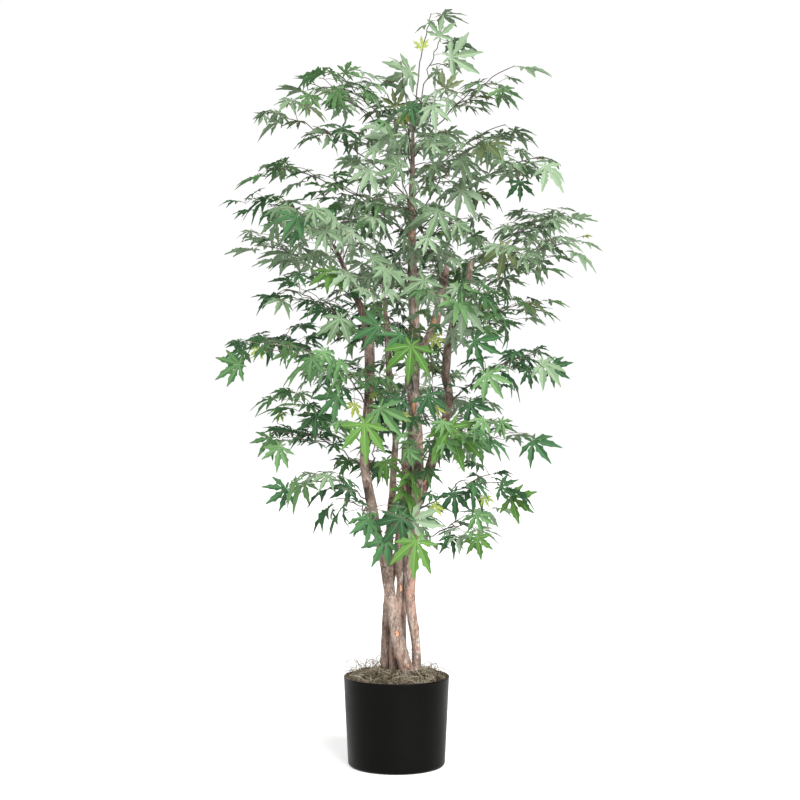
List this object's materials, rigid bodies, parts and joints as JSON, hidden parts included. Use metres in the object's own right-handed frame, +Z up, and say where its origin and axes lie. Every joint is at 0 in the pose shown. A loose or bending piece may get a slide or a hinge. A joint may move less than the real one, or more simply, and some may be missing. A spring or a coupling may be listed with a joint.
{
  "type": "potted artificial japanese maple tree",
  "caption": "Man-made Japanese maple: natural wood stems in a round black pot packed with moss, carrying an open crown of palmate cloth leaves on thin twigs.",
  "frame": {"origin": "centre of the pot's flat underside, where the tree stands on the floor", "axes": "+Z up the tree; the picture looks along +Y, with +X to its right"},
  "size_m": [0.9494, 0.8162, 1.831],
  "materials": {
    "pot": "satin black",
    "core": "rough filling",
    "moss": "dry curled moss",
    "bark": "natural bark",
    "foliage": "matt cloth"
  },
  "bodies": {
    "root": {"pot": "pot", "core": "core", "moss": "moss", "stem_left": "bark", "bough_left_outer": "bark", "bough_left_inner": "bark", "stem_sawn": "bark", "stem_right": "bark", "stem_leader": "bark", "stem_right_outer": "bark", "spray_top_1": "foliage", "spray_top_2": "foliage", "spray_left_1": "foliage", "spray_left_2": "foliage", "spray_left_3": "foliage", "spray_left_4": "foliage", "spray_left_5": "foliage", "spray_left_6": "foliage", "spray_left_7": "foliage", "spray_left_8": "foliage", "spray_left_9": "foliage", "spray_left_10": "foliage", "spray_right_1": "foliage", "spray_right_2": "foliage", "spray_right_3": "foliage", "spray_right_4": "foliage", "spray_right_5": "foliage", "spray_right_6": "foliage", "spray_right_7": "foliage", "spray_right_8": "foliage", "spray_right_9": "foliage", "spray_right_10": "foliage", "spray_front_1": "foliage", "spray_front_2": "foliage", "spray_front_3": "foliage", "spray_front_4": "foliage", "spray_front_5": "foliage", "spray_front_6": "foliage", "spray_front_7": "foliage", "spray_front_8": "foliage", "spray_front_9": "foliage", "spray_front_10": "foliage", "spray_front_11": "foliage", "spray_front_12": "foliage", "spray_front_13": "foliage", "spray_front_14": "foliage", "spray_back_1": "foliage", "spray_back_2": "foliage", "spray_back_3": "foliage", "spray_back_4": "foliage", "spray_back_5": "foliage", "spray_back_6": "foliage", "spray_back_7": "foliage", "spray_back_8": "foliage", "spray_back_9": "foliage", "spray_back_10": "foliage", "spray_back_11": "foliage", "spray_back_12": "foliage", "spray_back_13": "foliage", "spray_back_14": "foliage"}
  },
  "joints": []
}
